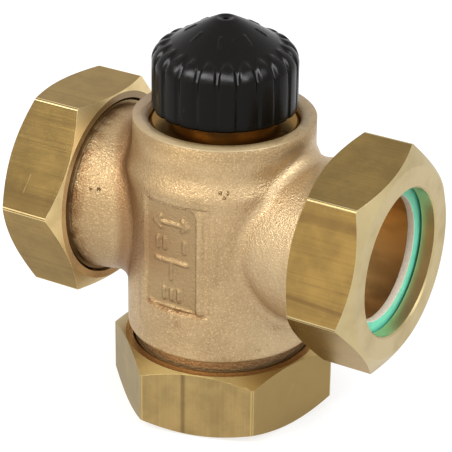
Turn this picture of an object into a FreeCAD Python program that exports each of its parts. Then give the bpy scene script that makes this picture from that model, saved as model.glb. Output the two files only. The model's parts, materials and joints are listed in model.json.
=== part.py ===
"""Three-way mixing and diverting valve with three union nuts and a screw-on protective cap.

Lengths are millimetres. The valve stands on its bottom union nut: +Z is up, the origin is the centre
of that nut's face, and the two side ports lie along X. Pieces are modelled round the point where the
port axes cross, and lifted to their height when they are written.
"""
import FreeCAD, Part
import math
import os

V = FreeCAD.Vector
UP = V(0, 0, 1)
CENTRE = V(0, 0, 0)

# Fits
thread_clearance = 0.08     # radial, between the plain cylinders that stand for mating threads
slip_clearance = 0.05       # radial, between pieces that are pushed over or into one another
running_clearance = 0.06    # radial, round the spindle
seal_clearance = 0.1        # radial, between an O-ring and the wall that it seals against

# Port ends
port_bore = 16.4            # radius of the waterway at each port
side_reach = 45.1           # from the crossing of the axes to a side port's sealing face
bottom_reach = 45.8         # the same for the bottom port
port_thread = 23.12         # radius of the male port thread
port_chamfer = 0.9
thread_start = 0.4          # the thread begins this far inside its nut
relief_depth = 1.4          # groove between a side branch and its thread
neck_step = 0.4             # the cast neck under the barrel is this much smaller than the thread
branch_gap = 0.2            # from the cast side branch to its nut
barrel_gap = 3.0            # from the barrel to the bottom nut

# Union nuts and gaskets
nut_wall = 2.8              # from the thread to a flat
nut_edge = 0.9              # rounding along the corners of the drawn hexagon bar
nut_height = 18.6
nut_lip = 4.1
nut_hole = 19.25            # radius of the hole in the lip
nut_hole_chamfer = 0.45
nut_entry = 0.65            # countersink where the thread starts
nut_face_step = 1.0         # the turned outer face is this much smaller in radius than the flats
nut_back_step = 0.3         # the same for the inner face
nut_chamfer_angle = 30.0
nut_turns = {"left": 32.1, "right": 43.0, "bottom": 43.7}
gasket_thickness = 2.0
gasket_edge = 0.2           # the gasket stays this far inside the rim of the sealing face
lip_gap = 0.7               # from the gasket to the lip of the loosely fitted nut

# Cast body
barrel_radius = 25.0
barrel_edge = 1.4
shoulder_swell = 0.3
shoulder_low = 11.0
shoulder_high = 15.5
collar_height = 7.1
collar_radius = 23.6
rim_height = 28.7           # top of the collar above the port axis
rim_chamfer = 0.4
mouth_chamfer = 0.9
branch_root = 15.2          # radius of a side branch at the crossing
branch_waist = 20.0
branch_waist_at = 19.4
branch_swell = 0.6          # the branch is this much larger than its relief groove
branch_edge = 0.45
casting_fillet = 3.5
plate_left = -8.3           # front panel, flat floor
plate_right = 6.1
plate_low = -17.2
plate_high = 11.9
plate_floor = 2.0           # depth below the barrel at the middle
plate_corner = 2.5
plate_border = 3.6          # strip of the barrel to the right of the floor
plate_margin = 0.7
border_depth = 0.35

# Waterways
chamber_radius = 13.6
chamber_floor = -9.0
ledge_height = 6.0          # the seat cage stands on this ledge
seat_hole = 11.0
seat_lip_width = 1.2
seat_lip_height = 1.0
seat_plate = 3.0
lower_throat = -11.5
lower_mouth = -20.0
left_funnel_start = 31.0
left_funnel_radius = 6.8
left_funnel_wall = 2.4      # from the narrow end to the gallery
right_funnel_start = 26.5
right_funnel_radius = 4.2
right_funnel_wall = 1.6     # from the narrow end to the bonnet's bore
gallery_depth = 2.3
gallery_inset = 0.6

# Bonnet
collar_bore = 19.5
flange_gap = 0.5
flange_sink = 1.7           # from the rim down to the flange
flange_height = 5.0
flange_chamfer = 0.5
insert_radius = 17.0
insert_length = 7.0
neck_thread = 14.5
neck_length = 10.5
neck_relief = 0.9
neck_relief_width = 1.4
neck_chamfer = 1.0
spring_well = 6.6
well_depth = 1.0            # spring well, below the flange's seat
seal_section = 0.8          # radius of the larger O-rings
small_section = 0.6
groove_room = 1.3           # height of an O-ring's groove, in thicknesses of the ring
bonnet_groove_at = 4.8      # below the flange's seat
cage_groove_at = 1.6        # above the ledge
window_count = 6
window_width = 9.0
cage_wall = 2.4

# Gland
gland_length = 5.1
gland_head = 2.1
gland_flats = 11.0
gland_groove_at = 1.4       # outer groove, below the head

# Spindle, plug and spring
stroke = 3.5
seat_gap = 0.1              # left at either seat when the plug is at the end of its stroke
spindle_radius = 3.0
spindle_tail = 2.5
spindle_stand = 6.5         # from the bonnet's neck up to the spindle's tip
spindle_rounding = 0.8
seal_disc = 2.0
seal_overlap = 0.6
clamp_washer = 1.0
clamp_radius = 8.0
lock_nut_height = 3.0
lock_nut_flats = 8.0
tail_past_nut = 1.0
spring_plate_drop = 2.0     # from the gland down to the spring plate's lower face
spring_plate = 1.0
plate_room = 0.5
circlip = 0.6
circlip_width = 1.5
circlip_groove = 0.4
spring_washer = 0.6
spring_wire = 0.9
spring_turns = 4.5
spring_room = 0.6

# Protective cap
cap_radius = 18.7
cap_gap = 4.1               # from the bonnet's flange up to the cap
cap_skirt = 12.5
cap_crown = 11.6            # from the skirt's shoulder up to the tip
cap_rib_depth = 0.8
cap_rib_count = 22
cap_groove_width = 1.5
cap_cone_radius = 16.4
cap_cone_rise = 2.7         # from the skirt's shoulder up to the foot of the cone
cap_rib_end = 13.8
cap_rib_crown = 0.6
cap_tip_radius = 2.2
cap_tip_drop = 0.35
cap_dimple = 0.9
cap_dimple_depth = 1.4
cap_wall = 2.3
cap_entry = 0.8
cap_boss = 3.4
cap_boss_gap = 0.05
cap_head_room = 1.0

# Sizes that follow
nut_bore = port_thread + thread_clearance
nut_flats = 2 * (nut_bore + nut_wall)
nut_corner = nut_flats / math.sqrt(3)
nut_face = nut_flats / 2 - nut_face_step
nut_back = nut_flats / 2 - nut_back_step
relief_radius = port_thread - relief_depth
gasket_radius = port_thread - port_chamfer - gasket_edge
collar_low = rim_height - collar_height
insert_bore = insert_radius + thread_clearance
flange_top = rim_height - flange_sink
flange_seat = flange_top - flange_height
insert_end = flange_seat - insert_length
well_floor = flange_seat - well_depth
bonnet_groove = flange_seat - bonnet_groove_at
cage_groove = ledge_height + cage_groove_at
neck_top = flange_top + neck_length
seat_lip = seat_hole + seat_lip_width
upper_seat = ledge_height - seat_lip_height
lower_seat = chamber_floor + seat_lip_height
plug_radius = seat_lip + seal_overlap
plug_top = upper_seat - seat_gap
plug_bottom = lower_seat + seat_gap + stroke
gland_bottom = neck_top - gland_length
gland_radius = spring_well - thread_clearance
spring_plate_at = gland_bottom - spring_plate_drop
spindle_bore = spindle_radius + running_clearance
spindle_top = neck_top + spindle_stand
cap_low = flange_top + cap_gap
cap_shoulder = cap_low + cap_skirt
cap_cone_height = cap_shoulder + cap_cone_rise
cap_top = cap_shoulder + cap_crown
cap_bore = neck_thread + thread_clearance
cap_ceiling = neck_top + stroke + cap_head_room
cap_core = cap_radius - cap_rib_depth


def nut_outer(reach):
    """Distance from the crossing of the axes to the outer face of the nut on a port."""
    return reach + gasket_thickness + lip_gap + nut_lip


def nut_inner(reach):
    return nut_outer(reach) - nut_height


axis_height = nut_outer(bottom_reach)


def point(radius, height):
    return V(radius, 0, height)


def line(start, end):
    return Part.LineSegment(start, end).toShape()


def arc(start, middle, end):
    return Part.Arc(start, middle, end).toShape()


def turned(edges):
    """Solid of revolution about Z from the edges of a closed outline in the XZ plane."""
    face = Part.Face(Part.Wire(edges))
    return face.revolve(CENTRE, UP, 360)


def lathe(*corners):
    """Solid of revolution about Z from the (radius, height) corners of a straight-sided outline."""
    points = [point(*corner) for corner in corners]
    return turned([line(a, b) for a, b in zip(points, points[1:] + points[:1])])


def disc(radius, low, high):
    return Part.makeCylinder(radius, high - low, V(0, 0, low))


def ring(inner, outer, low, high):
    return disc(outer, low, high).cut(disc(inner, low, high))


def hexagon(flats, low, high, turn=0.0):
    radius = flats / math.sqrt(3)
    angles = [math.radians(turn + 60 * side) for side in range(7)]
    corners = [V(radius * math.cos(a), radius * math.sin(a), low) for a in angles]
    return Part.Face(Part.makePolygon(corners)).extrude(V(0, 0, high - low))


def block(low, high):
    size = V(*high).sub(V(*low))
    return Part.makeBox(size.x, size.y, size.z, V(*low))


def o_ring(inner, section, height):
    """O-ring of the given inner radius and section radius, lying flat."""
    return Part.makeTorus(inner + section, section, V(0, 0, height), UP)


def to_port(shape, port):
    """Turns a shape from the upright working position, where +Z leads outwards, to its port."""
    tilt = {"left": -90, "right": 90, "bottom": 180}[port]
    moved = shape.copy()
    moved.rotate(CENTRE, V(0, 1, 0), tilt)
    return moved


def port_reach(port):
    return bottom_reach if port == "bottom" else side_reach


# Union nuts and gaskets

def union_nut(port):
    """Hexagon nut with turned chamfers, an inward lip and a plain bore for its thread."""
    outer = nut_outer(port_reach(port))
    inner = outer - nut_height
    slope = math.tan(math.radians(nut_chamfer_angle))
    rise = (nut_corner - nut_back) * slope
    fall = (nut_corner - nut_face) * slope
    envelope = lathe((0, inner), (nut_back, inner), (nut_corner, inner + rise),
                     (nut_corner, outer - fall), (nut_face, outer), (0, outer))
    bar = hexagon(nut_flats, inner, outer, nut_turns[port])
    corners = [e for e in bar.Edges if e.BoundBox.ZLength > nut_height / 2]
    shape = bar.makeFillet(nut_edge, corners).common(envelope)
    hole = lathe((0, inner), (nut_bore + nut_entry, inner), (nut_bore, inner + nut_entry),
                 (nut_bore, outer - nut_lip), (nut_hole, outer - nut_lip),
                 (nut_hole, outer - nut_hole_chamfer), (nut_hole + nut_hole_chamfer, outer), (0, outer))
    return to_port(shape.cut(hole), port)


def gasket(port):
    reach = port_reach(port)
    return to_port(ring(port_bore, gasket_radius, reach, reach + gasket_thickness), port)


# Cast body

def thread_end(reach, gap, neck):
    """Corners of the threaded end and the neck behind it, from the port's axis in to the casting."""
    inner = nut_inner(reach)
    start = inner + thread_start
    return [point(0, reach), point(port_thread - port_chamfer, reach),
            point(port_thread, reach - port_chamfer), point(port_thread, start),
            point(neck, start), point(neck, inner - gap)]


def chain(points):
    return [line(a, b) for a, b in zip(points, points[1:])]


def rounded_edge(radius, height, size):
    """Quarter-round edge between a face at the given height and a side at the given radius."""
    share = size * (1 - math.sqrt(0.5))
    return (point(radius - size, height), point(radius - share, height - share), point(radius, height - size))


def barrel():
    """Upright middle of the casting, with the bottom port below and the collar on top."""
    neck = port_thread - neck_step
    end = [V(p.x, 0, -p.z) for p in thread_end(bottom_reach, barrel_gap, neck)]
    low = barrel_gap - nut_inner(bottom_reach)
    edge = [V(p.x, 0, 2 * low - p.z) for p in rounded_edge(barrel_radius, low, barrel_edge)]
    swell = Part.BSplineCurve()
    bends = [point(barrel_radius, shoulder_low), point(barrel_radius + shoulder_swell, shoulder_high),
             point(collar_radius, collar_low)]
    swell.interpolate(bends, InitialTangent=UP * shoulder_swell, FinalTangent=UP * shoulder_swell)
    top = [bends[2], point(collar_radius, rim_height - rim_chamfer),
           point(collar_radius - rim_chamfer, rim_height), point(0, rim_height), end[0]]
    edges = chain(end + [edge[0]]) + [arc(*edge), line(edge[2], bends[0]), swell.toShape()]
    return turned(edges + chain(top))


def branch(port):
    """Side branch: a swelling cast neck that runs out to the threaded end."""
    end = thread_end(side_reach, branch_gap, relief_radius)
    swell = relief_radius + branch_swell
    edge = rounded_edge(swell, end[-1].z, branch_edge)
    neck = [edge[2], point(branch_waist, branch_waist_at), point(branch_root, 0)]
    edges = chain(end + [edge[0]]) + [arc(*edge), arc(*neck)]
    return to_port(turned(edges + chain([neck[2], CENTRE, end[0]])), port)


def saddle_edges(shape):
    """Edges where the side branches meet the barrel: the curves that are neither lines nor circles."""
    return [e for e in shape.Edges if not isinstance(e.Curve, (Part.Line, Part.Circle))
            and e.BoundBox.YLength > branch_root and e.BoundBox.ZLength > branch_root]


def casting():
    """Outer form of the body, with its branches blended into the barrel."""
    rough = barrel().fuse([branch("left"), branch("right")]).removeSplitter()
    return rough.makeFillet(casting_fillet, saddle_edges(rough))


def panel():
    """Cut for the flat front panel, and for the slightly sunk strip round it."""
    front = -2 * barrel_radius
    floor = block((plate_left, front, plate_low), (plate_right, plate_floor - barrel_radius, plate_high))
    corners = [e for e in floor.Edges if e.BoundBox.YLength > barrel_radius / 2
               and (e.BoundBox.XMin > plate_left) == (e.BoundBox.ZMin > plate_low)]
    floor = floor.makeFillet(plate_corner, corners)
    strip = block((plate_left - plate_margin, front, plate_low - plate_margin),
                  (plate_right + plate_border, -barrel_radius / 2, plate_high + plate_margin))
    strip = strip.cut(disc(barrel_radius - border_depth, plate_low - barrel_radius, plate_high + barrel_radius))
    return floor.fuse(strip)


def funnel(port, start, end, radius, height):
    """Waterway that narrows from a side port's bore to a round mouth nearer the middle of the body."""
    side = 1 if port == "right" else -1
    along = V(1, 0, 0)
    wide = Part.makeCircle(port_bore, V(side * start, 0, 0), along)
    narrow = Part.makeCircle(radius, V(side * end, 0, height), along)
    bore = to_port(disc(port_bore, start, side_reach), port)
    return Part.makeLoft([Part.Wire(wide), Part.Wire(narrow)], True, True).fuse(bore)


def waterways():
    """Everything that is hollow inside the casting, as one solid."""
    low = -bottom_reach
    middle = lathe((0, low), (port_bore, low), (port_bore, lower_mouth), (seat_hole, lower_throat),
                   (seat_hole, lower_seat), (seat_lip, lower_seat), (seat_lip, chamber_floor),
                   (chamber_radius, chamber_floor), (chamber_radius, ledge_height),
                   (insert_bore, ledge_height), (insert_bore, flange_seat), (collar_bore, flange_seat),
                   (collar_bore, rim_height - mouth_chamfer),
                   (collar_bore + mouth_chamfer, rim_height), (0, rim_height))
    gallery_low = ledge_height + seat_plate + gallery_inset
    gallery_high = insert_end - gallery_inset
    gallery = disc(insert_bore + gallery_depth, gallery_low, gallery_high)
    left_height = (chamber_floor + ledge_height) / 2
    left_end = insert_bore + gallery_depth + left_funnel_wall
    left = funnel("left", left_funnel_start, left_end, left_funnel_radius, left_height)
    left_run = Part.makeCylinder(left_funnel_radius, left_end, V(0, 0, left_height), V(-1, 0, 0))
    right_end = insert_bore + right_funnel_wall
    right_height = gallery_low + right_funnel_radius
    right = funnel("right", right_funnel_start, right_end, right_funnel_radius, right_height)
    return middle.fuse([gallery, left, left_run, right])


def valve_body():
    return casting().cut(panel()).cut(waterways()).removeSplitter()


# Bonnet, seat cage and gland

def groove(radius, section, height):
    """Ring to cut from a turned piece of the given radius so that it holds an O-ring."""
    depth = 2 * section
    half = groove_room * section
    return ring(radius - depth, radius + depth, height - half, height + half)


def bonnet():
    """Screwed insert: flange in the collar, threaded neck above, spring well inside."""
    flange = collar_bore - flange_gap
    relief = neck_thread - neck_relief
    outside = lathe((0, insert_end), (insert_radius, insert_end), (insert_radius, flange_seat),
                    (flange, flange_seat), (flange, flange_top - flange_chamfer),
                    (flange - flange_chamfer, flange_top), (relief, flange_top),
                    (relief, flange_top + neck_relief_width), (neck_thread, flange_top + neck_relief_width),
                    (neck_thread, neck_top - neck_chamfer), (neck_thread - neck_chamfer, neck_top), (0, neck_top))
    inside = disc(spring_well, well_floor, neck_top).fuse(disc(spindle_bore, insert_end, neck_top))
    return outside.cut(inside).cut(groove(insert_radius, seal_section, bonnet_groove))


def bonnet_o_ring():
    return o_ring(insert_radius - 2 * seal_section, seal_section, bonnet_groove)


def seat_cage():
    """Upper seat with a windowed wall, held between the ledge in the body and the bonnet."""
    plate_top = ledge_height + seat_plate
    inside = insert_radius - cage_wall
    shape = lathe((seat_hole, upper_seat), (seat_lip, upper_seat), (seat_lip, ledge_height),
                  (insert_radius, ledge_height), (insert_radius, insert_end), (inside, insert_end),
                  (inside, plate_top), (seat_hole, plate_top))
    half = window_width / 2
    window = block((0, -half, plate_top + gallery_inset), (2 * insert_radius, half, insert_end - gallery_inset))
    for step in range(window_count):
        cutter = window.copy()
        cutter.rotate(CENTRE, UP, 360 * step / window_count)
        shape = shape.cut(cutter)
    return shape.cut(groove(insert_radius, small_section, cage_groove))


def cage_o_ring():
    return o_ring(insert_radius - 2 * small_section, small_section, cage_groove)


def gland_pocket():
    """Radius of the pocket for the spindle's O-ring in the foot of the gland."""
    return spindle_radius + seal_clearance + 2 * small_section + slip_clearance


def gland_screw():
    """Hexagon-headed screw that closes the spring well round the spindle."""
    body = disc(gland_radius, gland_bottom, neck_top)
    head = hexagon(gland_flats, neck_top, neck_top + gland_head)
    pocket = disc(gland_pocket(), gland_bottom, gland_bottom + 2 * groove_room * small_section)
    bore = disc(spindle_bore, gland_bottom, neck_top + gland_head)
    cut = groove(gland_radius, small_section, neck_top - gland_groove_at)
    return body.fuse(head).cut(pocket.fuse(bore)).cut(cut)


def gland_o_ring():
    return o_ring(gland_radius - 2 * small_section, small_section, neck_top - gland_groove_at)


def spindle_o_ring():
    return o_ring(spindle_radius + seal_clearance, small_section, gland_bottom + groove_room * small_section)


# Spindle, plug and spring

def spindle():
    """Stepped rod: domed top under the cap, circlip groove, and a thinner tail through the plug."""
    step = plug_top + clamp_washer
    tail = plug_bottom - clamp_washer - lock_nut_height - tail_past_nut
    slot = spring_plate_at + spring_plate
    bed = spindle_radius - circlip_groove
    return lathe((0, tail), (spindle_tail, tail), (spindle_tail, step), (spindle_radius, step),
                 (spindle_radius, slot), (bed, slot), (bed, slot + circlip), (spindle_radius, slot + circlip),
                 (spindle_radius, spindle_top - spindle_rounding),
                 (spindle_radius - spindle_rounding, spindle_top), (0, spindle_top))


def on_tail(radius, low, high):
    """Round piece threaded on the spindle's tail."""
    return ring(spindle_tail + slip_clearance, radius, low, high)


def plug_pieces():
    """Plug between its two soft discs, clamped by a washer on either side and a nut below."""
    upper = plug_top - seal_disc
    lower = plug_bottom + seal_disc
    nut_top = plug_bottom - clamp_washer
    hole = disc(spindle_tail + slip_clearance, nut_top - lock_nut_height, nut_top)
    return {
        "upper_clamp_washer": on_tail(clamp_radius, plug_top, plug_top + clamp_washer),
        "upper_seal_disc": on_tail(plug_radius, upper, plug_top),
        "plug": on_tail(plug_radius, lower, upper),
        "lower_seal_disc": on_tail(plug_radius, plug_bottom, lower),
        "lower_clamp_washer": on_tail(clamp_radius, nut_top, plug_bottom),
        "plug_lock_nut": hexagon(lock_nut_flats, nut_top - lock_nut_height, nut_top).cut(hole),
    }


def spring_seat_plate():
    top = spring_plate_at + spring_plate
    return ring(spindle_radius + slip_clearance, spring_well - plate_room, spring_plate_at, top)


def spindle_circlip():
    """Open retaining ring in the spindle's groove, above the spring plate."""
    low = spring_plate_at + spring_plate
    inner = spindle_radius - circlip_groove + slip_clearance
    outer = spindle_radius + circlip_width
    gap = block((0, -spindle_radius / 2, low), (2 * outer, spindle_radius / 2, low + circlip))
    return ring(inner, outer, low, low + circlip).cut(gap)


def spring_floor_washer():
    return ring(spindle_bore + slip_clearance, spring_well - plate_room, well_floor, well_floor + spring_washer)


def return_spring():
    """Coil spring between the washer on the well's floor and the spring plate."""
    low = well_floor + spring_washer + spring_wire / 2
    high = spring_plate_at - spring_wire / 2
    radius = spring_well - spring_room - spring_wire / 2
    height = high - low
    path = Part.makeHelix(height / spring_turns, height, radius)
    section = Part.Wire(Part.makeCircle(spring_wire / 2, V(radius, 0, 0), V(0, 1, 0)))
    coil = Part.Wire(path).makePipeShell([section], True, True)
    coil.translate(V(0, 0, low))
    return coil


# Protective cap

def cap_core_form():
    """Cap without its ribs: a straight skirt under a cone with a rounded tip."""
    tip = point(cap_tip_radius, cap_top - cap_tip_drop)
    crown = [tip, point(cap_tip_radius / 2, cap_top - cap_tip_drop / 4), point(0, cap_top)]
    skirt = [point(0, cap_low), point(cap_core, cap_low), point(cap_core, cap_shoulder),
             point(cap_cone_radius, cap_cone_height), tip]
    return turned(chain(skirt) + [arc(*crown), line(crown[2], skirt[0])])


def cone_height(radius):
    """Height of the cap's cone at a radius."""
    rise = cap_top - cap_tip_drop - cap_cone_height
    return cap_cone_height + rise * (cap_cone_radius - radius) / (cap_cone_radius - cap_tip_radius)


def cap_ribs():
    """Broad ribs on the skirt whose rounded heads lie on the cone, with narrow grooves between them."""
    middle = (cap_radius + cap_cone_radius) / 2
    head = [point(cap_radius, cap_shoulder), point(middle, cone_height(middle) + cap_rib_crown),
            point(cap_rib_end, cone_height(cap_rib_end))]
    foot = point(cap_rib_end, cap_low)
    band = turned([line(foot, point(cap_radius, cap_low)), line(point(cap_radius, cap_low), head[0]),
                   arc(*head), line(head[2], foot)])
    half = cap_groove_width / 2
    slot = block((cap_rib_end / 2, -half, cap_low - half), (2 * cap_radius, half, cap_top))
    for step in range(cap_rib_count):
        cutter = slot.copy()
        cutter.rotate(CENTRE, UP, 360 * (step + 0.5) / cap_rib_count)
        band = band.cut(cutter)
    return band


def protective_cap():
    """Ribbed cap with a threaded skirt, and a boss inside that bears on the spindle."""
    inner_tip = cap_boss + slip_clearance
    hollow = lathe((0, cap_low), (cap_bore + cap_entry, cap_low), (cap_bore, cap_low + cap_entry),
                   (cap_bore, cap_ceiling), (inner_tip, cone_height(inner_tip) - cap_wall), (0, cap_top - cap_wall))
    boss = disc(cap_boss, spindle_top + cap_boss_gap, cap_top)
    dimple = disc(cap_dimple, cap_top - cap_dimple_depth, cap_top)
    shape = cap_core_form().fuse(cap_ribs())
    return shape.cut(hollow.cut(boss)).cut(dimple).removeSplitter()


def pieces():
    ports = ("left", "right", "bottom")
    made = {"valve_body": valve_body(), "protective_cap": protective_cap()}
    made.update({"union_nut_" + port: union_nut(port) for port in ports})
    made.update({"gasket_" + port: gasket(port) for port in ports})
    made.update(plug_pieces())
    turned_pieces = (bonnet, bonnet_o_ring, seat_cage, cage_o_ring, gland_screw, gland_o_ring, spindle_o_ring,
                     spindle, spring_seat_plate, spindle_circlip, spring_floor_washer, return_spring)
    made.update({make.__name__: make() for make in turned_pieces})
    return made


def main():
    os.makedirs("parts", exist_ok=True)
    for name, shape in pieces().items():
        shape.translate(V(0, 0, axis_height))
        shape.exportStep("parts/" + name + ".step")
        print(name, "solids", len(shape.Solids), "valid", shape.isValid(), "volume", round(shape.Volume, 1))


main()
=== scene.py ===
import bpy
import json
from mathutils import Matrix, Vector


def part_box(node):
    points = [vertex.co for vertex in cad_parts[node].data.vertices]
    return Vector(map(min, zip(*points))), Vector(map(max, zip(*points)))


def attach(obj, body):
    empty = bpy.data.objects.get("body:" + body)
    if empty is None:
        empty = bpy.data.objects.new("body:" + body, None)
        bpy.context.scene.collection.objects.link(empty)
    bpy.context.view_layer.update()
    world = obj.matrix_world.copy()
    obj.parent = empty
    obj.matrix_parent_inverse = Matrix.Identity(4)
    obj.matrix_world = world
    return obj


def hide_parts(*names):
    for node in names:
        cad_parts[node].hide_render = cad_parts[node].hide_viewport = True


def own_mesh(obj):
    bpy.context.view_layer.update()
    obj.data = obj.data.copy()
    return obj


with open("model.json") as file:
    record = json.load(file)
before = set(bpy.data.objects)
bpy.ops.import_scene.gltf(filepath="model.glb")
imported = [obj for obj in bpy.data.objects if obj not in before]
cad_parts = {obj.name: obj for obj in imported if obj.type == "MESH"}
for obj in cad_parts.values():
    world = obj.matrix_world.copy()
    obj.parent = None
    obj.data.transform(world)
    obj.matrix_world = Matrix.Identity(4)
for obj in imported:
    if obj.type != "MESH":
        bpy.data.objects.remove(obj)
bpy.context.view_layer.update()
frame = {"nodes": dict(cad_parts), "record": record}

import json
import math
from collections import namedtuple

import bmesh
import bpy
from bpy.props import FloatProperty, FloatVectorProperty, IntProperty, PointerProperty
from mathutils import Matrix, Vector, noise

bl_info = {
    "name": "Three-way valve",
    "version": (1, 0, 0),
    "blender": (4, 5, 0),
    "location": "3D View > Sidebar > Valve",
    "description": "Finishes and fine detail for a three-way valve with union nuts and a protective cap",
    "category": "Object",
}

MM = 0.001
FULL_TURN = 2 * math.pi
PORTS = {"left": -90, "right": 90, "bottom": 180}    # degrees about Y from +Z
AXIS_HEIGHT = sum(corner.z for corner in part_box("gasket_right")) / 2
CROSSING = Vector((0, 0, AXIS_HEIGHT))
TO_MIDDLE = Matrix.Translation(CROSSING)
SHADER_SOCKETS = {"metallic": "Metallic", "specular": "Specular IOR Level", "tint": "Specular Tint"}
CAD_WELD, WELD = 1e-6, 1e-7    # metres within which points of a CAD mesh and of a new mesh are one


# Settings

def length(name, value, description):
    """Size in metres that a user can change, given in millimetres."""
    return FloatProperty(name=name, description=description, default=value * MM, unit="LENGTH", precision=5)


def colour(name, value, description):
    """Linear colour that a user can change."""
    return FloatVectorProperty(name=name, description=description, default=value, subtype="COLOR", size=3,
                               min=0.0, max=1.0)


def degrees(name, value, description):
    """Angle that a user can change, given in degrees."""
    return FloatProperty(name=name, description=description, default=math.radians(value), subtype="ANGLE")


def watts(name, value, description):
    """Power of a light that a user can change."""
    return FloatProperty(name=name, description=description, default=value, subtype="POWER")


class ValveSizes(bpy.types.PropertyGroup):
    """Sizes of the fine detail"""
    port_thread: length("Port thread", 23.12, "Radius of the plain cylinder under a port's thread")
    nut_bore: length("Nut bore", 23.2, "Radius of the plain bore that the nut's thread is cut in")
    thread_height: length("Thread height", 0.75, "Height of the port and nut threads")
    thread_pitch: length("Thread pitch", 2.309, "Rise of the port thread in one turn")
    thread_length: length("Thread length", 11.4, "Length of a port's threaded end")
    nut_lip: length("Nut lip", 4.1, "Thickness of a nut's inner lip")
    nut_entry: length("Nut countersink", 0.65, "Depth of the countersink at a nut's thread")
    nut_edge: length("Nut edge break", 0.1, "Width of the broken edges of a nut")
    gasket_hole: length("Gasket hole", 16.4, "Inner radius of a gasket")
    gasket_edge: length("Gasket edge", 0.22, "Rounding of a gasket's edges")
    cap_bore: length("Cap bore", 14.58, "Radius of the cap's plain bore")
    cap_core: length("Cap core", 17.9, "Radius of the cap's skirt at the foot of its grooves")
    cap_groove: length("Cap groove", 1.5, "Width of the groove between two ribs of the cap")
    cap_rib_end: length("Rib end", 13.8, "Radius at which the ribs run out on the cap's cone")
    cap_skirt: length("Cap skirt", 12.5, "Height of the cap's skirt up to the heads of its ribs")
    cap_cone_foot: length("Cone foot", 16.4, "Radius at which the cap's cone starts")
    cap_cone_rise: length("Cone rise", 2.7, "Rise from the skirt's top to the cone's foot")
    cap_rib_crown: length("Rib crown", 0.6, "How far the head of a rib stands above the cone's line")
    cap_rib_fade: length("Rib fade", 4.0, "Length under the heads over which the cap's grooves get shallower")
    cap_cone_crown: length("Cone crown", 0.45, "How far the cap's cone bulges in the middle")
    cap_tick_at: length("Tick place", 9.0, "Radius of the ring of raised ticks on the cone")
    cap_tick_length: length("Tick length", 3.0, "Length of a tick, towards the tip")
    cap_tick_width: length("Tick width", 0.9, "Width of a tick")
    cap_tick_height: length("Tick height", 0.28, "Height of a tick")
    neck_thread: length("Neck thread", 14.5, "Radius of the plain cylinder under the neck's thread")
    neck_pitch: length("Neck pitch", 1.5, "Rise of the neck's thread in one turn")
    mark_height: length("Mark height", 0.62, "Height of the raised signs on the front panel")
    mark_width: length("Mark width", 0.9, "Width of the strokes of the signs")
    strip_height: length("Strip height", 0.3, "Height of the raised strip at the front panel's right side")
    strip_width: length("Strip width", 1.0, "Width of the strip's top")
    panel_floor: length("Panel floor", 23.0, "Distance of the front panel's floor from the middle")
    panel_grid: length("Panel grid", 0.32, "Spacing of the fine mesh on the front panel")
    cap_thread: length("Cap thread", 0.45, "Height of the cap's thread")
    neck_height: length("Neck thread height", 0.4, "Height of the neck's thread")
    spring_wire: length("Spring wire", 0.45, "Radius of the spring's wire")
    cap_ticks: IntProperty(name="Cap ticks", description="Number of raised ticks on the cap's cone",
                           default=8, min=1)
    cap_ribs: IntProperty(name="Cap ribs", description="Number of ribs on the cap", default=22, min=3)


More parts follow.
